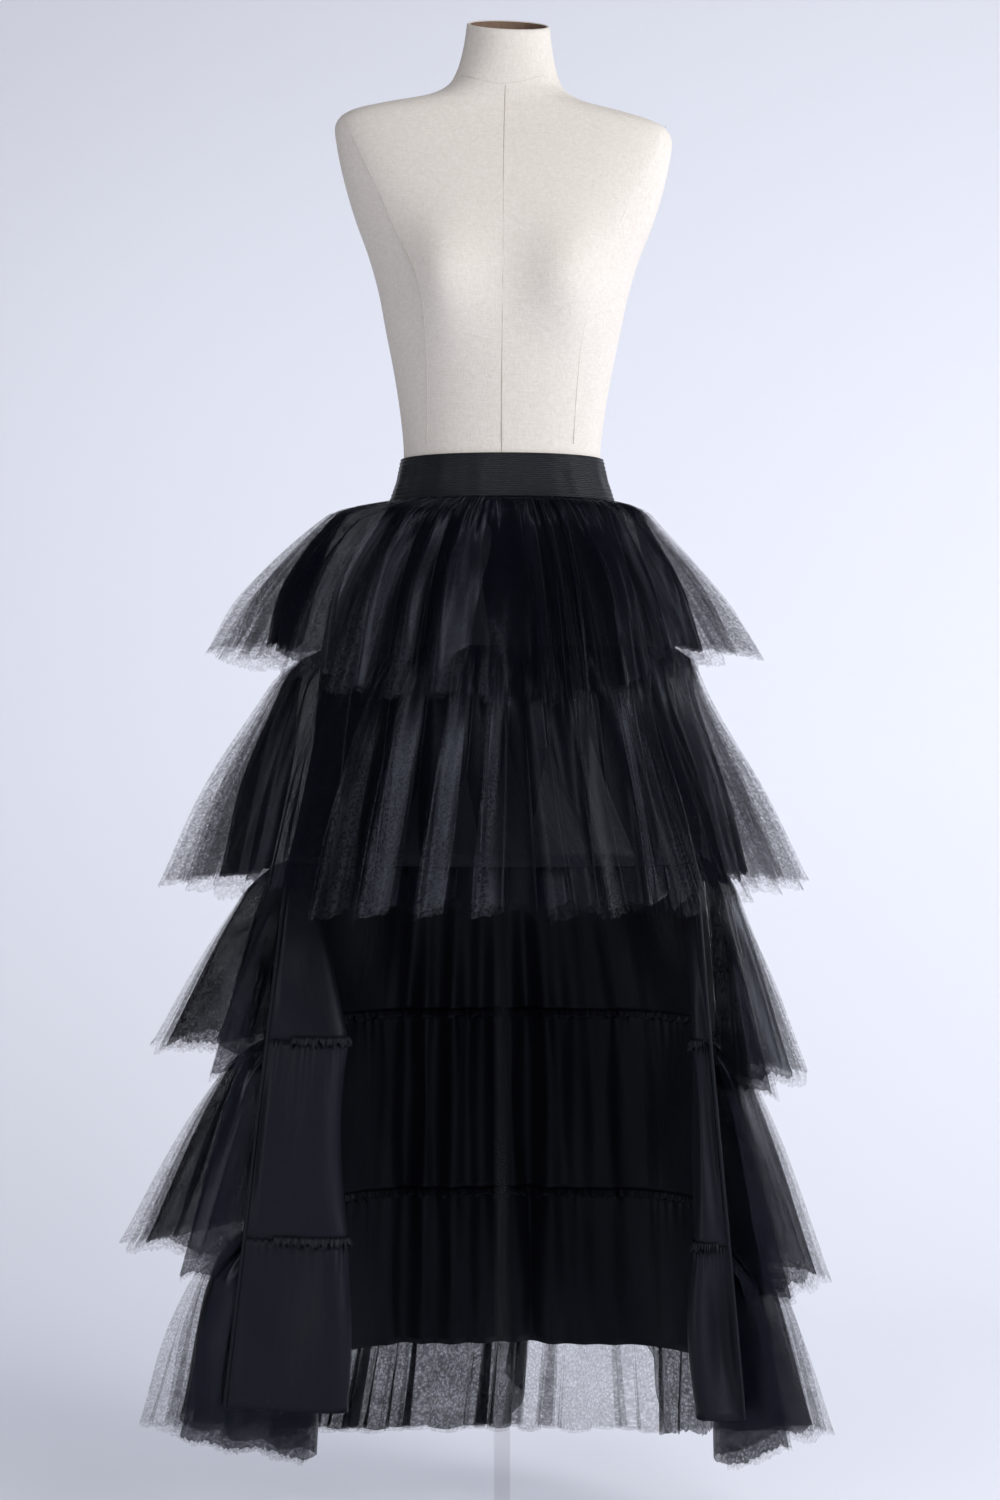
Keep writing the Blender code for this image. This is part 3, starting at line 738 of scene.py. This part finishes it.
def make_upper_satin(satin):
    columns, rows = 400, 26
    grid = upper_grid(columns, rows)
    place = np.arange(columns) / columns
    drops = np.linspace(0, 1, rows)
    folds = gathers(place, drops, 90, 0.0006, 71)
    soft = 0.002 * crumple(place, drops, 6, 24, 0.5, 72)
    for row, ring in enumerate(grid):
        out, _ = outward(ring, True)
        ring[:, :2] += out * (folds[row] + soft[row] * math.sin(math.pi * drops[row]))[:, None]
    piece = cloth("satin_upper_cloth", grid, True, SATIN_WALL)
    settle(piece, satin, "black_satin", "satin_upper_front", "satin_upper_back")


def make_allowance(satin, number, seam):
    """The puckered seam allowance that hangs inside under a gathered seam."""
    columns = 620
    at = np.linspace(0.3, 7.7, columns)
    line = satin_line(seam, at)
    out, _ = outward(line)
    place = at / 8
    pucker = uneven(place, 70, 240, 90 + number, 11)
    fray = uneven(place, 40, 160, 95 + number, 11)
    grid = []
    for drop in (0.0, 0.3, 0.65, 1.0):
        inside = 0.0016 + 0.0022 * drop + 0.0022 * pucker * (0.25 + 0.75 * drop)
        height = seam + 0.0035 - (0.0095 + 0.0028 * fray) * drop
        grid.append(np.column_stack([line - out * inside[:, None], height]))
    piece = cloth(f"satin_row_{number}_allowance", np.array(grid), False, SATIN_WALL / 2)
    return settle(piece, satin, "black_satin", f"satin_row_{number}")


def make_bindings(satin):
    """The bound front edges, a little outside the satin's own edges."""
    bindings = []
    for side, at in (("left", 0.0), ("right", 8.0)):
        places = []
        for z in SATIN_SEAMS:
            x, y = SATIN_LINES[z][int(at)]
            beside = SATIN_LINES[z][1 if at == 0 else -2]
            reach = math.dist((x, y), beside)
            places.append((x + (x - beside[0]) * BINDING_REACH / reach,
                           y + (y - beside[1]) * BINDING_REACH / reach, z))
        route = smooth_line(places, np.linspace(0, 3, 70))
        piece = tube(f"edge_binding_{side}_cloth", route, BINDING_RADIUS, 3)
        bindings.append(settle(piece, satin, "black_satin", f"edge_binding_{side}"))
    return bindings


# ---------------------------------------------------------------- the tulle
def tier_lines(tier, count):
    """The lines that a tier runs through, from its seam to its hem, and whether it is closed."""
    if tier in RING_TIERS:
        angles = np.pi - TURN * np.arange(count * 2) / (count * 2)
        if tier == "tulle_tier_1":
            top = form_points(section_at(BAND_BOTTOM), angles, 0.0050)
            top[:, 2] = BAND_BOTTOM + 0.0020
        else:
            x, y = oval(angles, *(reach + 0.004 for reach in UPPER_RINGS[-1][1:]))
            top = np.column_stack([x, y, np.full(len(angles), HIP_SEAM)])
        lines = [top]
        for side, front_z, back_z, left, right, front, back in RING_TIERS[tier]:
            x, y = oval(angles, left, right, front, back)
            sine = np.sin(angles)
            z = side + (np.where(sine > 0, back_z, front_z) - side) * sine * sine
            lines.append(np.column_stack([x, y, z]))
        return lines, True
    seam, rows = OPEN_TIERS[tier]
    at = np.linspace(0, 8, count * 2)
    top = satin_line(seam, at)
    out, _ = outward(top)
    lines = [np.column_stack([top + out * 0.0035, np.full(len(at), seam)])]
    for places in rows:
        lines.append(smooth_line(places, at))
    return lines, False


def even_columns(lines, closed, columns):
    """The same lines at columns that lie evenly along the hem."""
    lengths, whole = run_length(lines[-1], closed)
    wanted = np.linspace(0, whole, columns, endpoint=not closed)
    source = np.concatenate([lengths, [whole]]) if closed else lengths
    even = []
    for line in lines:
        ends = np.vstack([line, line[:1]]) if closed else line
        even.append(np.column_stack([np.interp(wanted, source, ends[:, axis]) for axis in range(3)]))
    return even


def fold_share(place, closed):
    """How deep the folds may be round a tier: shallow on the fronts of an open one."""
    if closed:
        return np.ones_like(place)
    back = smooth_step((place - 0.16) / 0.06) * smooth_step((0.88 - place) / 0.06)
    return FRONT_FOLD_SHARE + (1 - FRONT_FOLD_SHARE) * back


def pipes(turn):
    """Rounded folds with narrow valleys, from -1 to 1."""
    return 2 * np.sqrt(np.cos(turn / 2) ** 2 + 0.012) - 1


def net_grid(tier, number, inset, shorter):
    """One layer of a tier: folds shared by its layers, and small dents of its own."""
    make = NET_MAKE[tier]
    lines, closed = tier_lines(tier, make["columns"])
    lines = even_columns(lines, closed, make["columns"])
    place = np.arange(make["columns"]) / (make["columns"] if closed else make["columns"] - 1)
    drops = np.linspace(0, 1, make["rows"]) ** 0.9
    grid = through_lines(lines, drops)
    shared = 100 * int(tier[-1])
    own = shared + 10 * number
    allowed = fold_share(place, closed)
    last = float(tier == "tulle_tier_5")
    inmost = number == len(NET_LAYERS) - 1
    calm = last * smooth_step((place - 0.33) / 0.05) * smooth_step((0.67 - place) / 0.05)
    behind = last * smooth_step((place - 0.53) / 0.02) * smooth_step((0.655 - place) / 0.02)
    phase = make["folds"] * place + 0.30 * uneven(place, 3, 12, shared)
    phase += 0.07 * uneven(place, 4, 20, own)
    size = np.clip(0.74 + 0.34 * uneven(place, 4, 20, shared + 1), 0.50, 1.30)
    lean = 0.26 * uneven(place, 3, 11, shared + 2)
    dents = crumple(place, drops, 20, 90, 2.4, own + 3)
    billow = uneven(place, 2, 6, shared + 4)
    ripple = uneven(place, 30, 110, own + 5)
    ragged = np.random.default_rng(own + 6).uniform(-1, 1, make["columns"])
    for row, ring in enumerate(grid):
        drop = drops[row]
        out, along = outward(ring, closed)
        grown = float(0.22 * smooth_step(drop / 0.10) + 0.78 * smooth_step(drop / 0.75))
        heads = float(smooth_step(drop / 0.03) * np.exp(-((drop - 0.03) / 0.17) ** 2))
        turn = TURN * (phase + lean * drop)
        depth = make["depth"] * size * grown * allowed
        fold = pipes(turn)
        shift = depth * fold + GATHER_DEPTH * heads * pipes(TURN * (2 * phase + 0.20 * ripple))
        shift += GATHER_DEPTH * heads
        shift += (DENT * dents[row] + SWELL * billow) * grown * allowed
        shift += RIPPLE * ripple * grown * allowed
        shift -= inset * drop * allowed * (1 - 0.75 * calm)
        shift += BACK_FOLD_DEPTH * calm * drop * pipes(3 * turn)
        ring[:, :2] += out * shift[:, None]
        spread = -FOLD_LEAN * depth * np.sin(turn) * np.clip(fold + 0.6, 0.0, 1.0)
        spread -= BACK_FOLD_LEAN * calm * drop * np.sin(3 * turn)
        ring[:, :2] += along * spread[:, None]
        wave = uneven(place, 5, 16, shared + 7) - fold
        ring[:, 2] += shorter * drop + HEM_WAVE * drop ** 4 * wave * (1 - 0.8 * calm)
        ring[:, 2] += BACK_CUT * inmost * drop * behind
        if row == make["rows"] - 1:
            ring[:, 2] += HEM_FRAY * ragged * (1 - calm)
    return grid, closed


def make_tulle():
    finishes = [tulle_finish(f"{layer} black tulle", thin, thick)
                for layer, _, _, thin, thick in NET_LAYERS]
    for tier, make in NET_MAKE.items():
        for number, (layer, inset, shorter, _, _) in enumerate(NET_LAYERS):
            grid, closed = net_grid(tier, number, inset, shorter)
            piece = cloth(f"{tier}_{layer}", grid, closed)
            nodes = [tier] if layer == "outer" else []
            settle(piece, finishes[number], "black_tulle", *nodes)


# ---------------------------------------------------------------- stage, lights and camera
def make_stage():
    """Pale paper that sweeps up behind, its wall narrow enough to see past from the side."""
    profile = [(-3.2, 0.0), (1.3, 0.0)]
    profile += [(1.3 + 0.9 * math.sin(turn), 0.9 - 0.9 * math.cos(turn))
                for turn in np.linspace(0.1, math.pi / 2, 14)]
    profile += [(2.2, 4.2)]
    points = []
    for side in (-1, 1):
        points += [(side * (FLOOR_REACH if z == 0 else WALL_REACH), y, z) for y, z in profile]
    count = len(profile)
    faces = [(index, count + index, count + index + 1, index + 1) for index in range(count - 1)]
    sweep = new_mesh("studio_sweep", points, faces)
    finish = Finish("lit paper", (0.75, 0.77, 0.85), 0.9, Emission_Strength=0.14,
                    Emission_Color=(0.85, 0.88, 1.0, 1.0))
    speck = finish.noise(finish.stretched("Object", (1.0, 1.0, 1.0)), 300.0)
    finish.relief(speck, 0.05, 0.0005)
    sweep.data.materials.append(finish.material)


def area_light(name, place, target, size, power, colour):
    light = bpy.data.lights.new(name, "AREA")
    light.shape = "DISK"
    light.size = size
    light.energy = power
    light.color = colour
    lamp = bpy.data.objects.new(name, light)
    lamp.location = place
    lamp.rotation_euler = (Vector(target) - Vector(place)).to_track_quat("-Z", "Y").to_euler()
    bpy.context.scene.collection.objects.link(lamp)


def make_studio():
    make_stage()
    area_light("key", (2.7, -2.0, 2.0), (0.0, 0.0, 1.1), 1.4, 80.0, (1.0, 0.985, 0.965))
    area_light("fill", (-2.6, -2.2, 1.1), (0.0, 0.0, 1.75), 1.2, 34.0, (1.0, 0.97, 0.955))
    area_light("top", (0.9, -2.0, 3.1), (0.0, -0.1, 0.9), 0.8, 20.0, (1.0, 0.99, 0.98))
    area_light("rim", (2.5, 0.7, 1.3), (0.2, 0.0, 0.9), 1.0, 28.0, (0.94, 0.96, 1.0))
    area_light("backdrop", (1.9, 0.7, 1.9), (0.8, 2.2, 0.7), 1.8, 3.0, (0.96, 0.97, 1.0))
    area_light("floor glow", (-0.6, 0.9, 1.5), (-0.4, 2.1, 0.1), 1.6, 3.0, (0.95, 0.96, 1.0))
    world = bpy.data.worlds.new("soft room")
    world.use_nodes = True
    sky = world.node_tree.nodes["Background"]
    sky.inputs["Color"].default_value = (0.86, 0.88, 0.95, 1.0)
    sky.inputs["Strength"].default_value = 0.12
    bpy.context.scene.world = world
    lens = bpy.data.cameras.new("camera")
    lens.sensor_fit = "VERTICAL"
    lens.sensor_height = 36.0
    lens.lens = 65.45
    camera = bpy.data.objects.new("camera", lens)
    camera.location = (-0.0022, -3.0, 0.92)
    camera.rotation_euler = (math.pi / 2, 0.0, 0.0)
    bpy.context.scene.collection.objects.link(camera)
    bpy.context.scene.camera = camera
    bpy.context.scene.view_settings.view_transform = "Standard"
    bpy.context.scene.cycles.transparent_max_bounces = 32


# ---------------------------------------------------------------- all together
bpy.ops.object.select_all(action="DESELECT")
linen_cloth = linen_finish()
steel = steel_finish()
satin_cloth = satin_finish()
make_form(linen_cloth, neck_finish(), seam_finish())
make_waistband(elastic_finish())
make_satin(satin_cloth)
make_tulle()
for node, finish in (("stand_base", steel), ("stand_hub", steel), ("stand_flange", steel),
                     ("stand_pole", acrylic_finish()), ("form_base_board", wood_finish())):
    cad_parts[node].data.materials.clear()
    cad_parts[node].data.materials.append(finish)
make_studio()
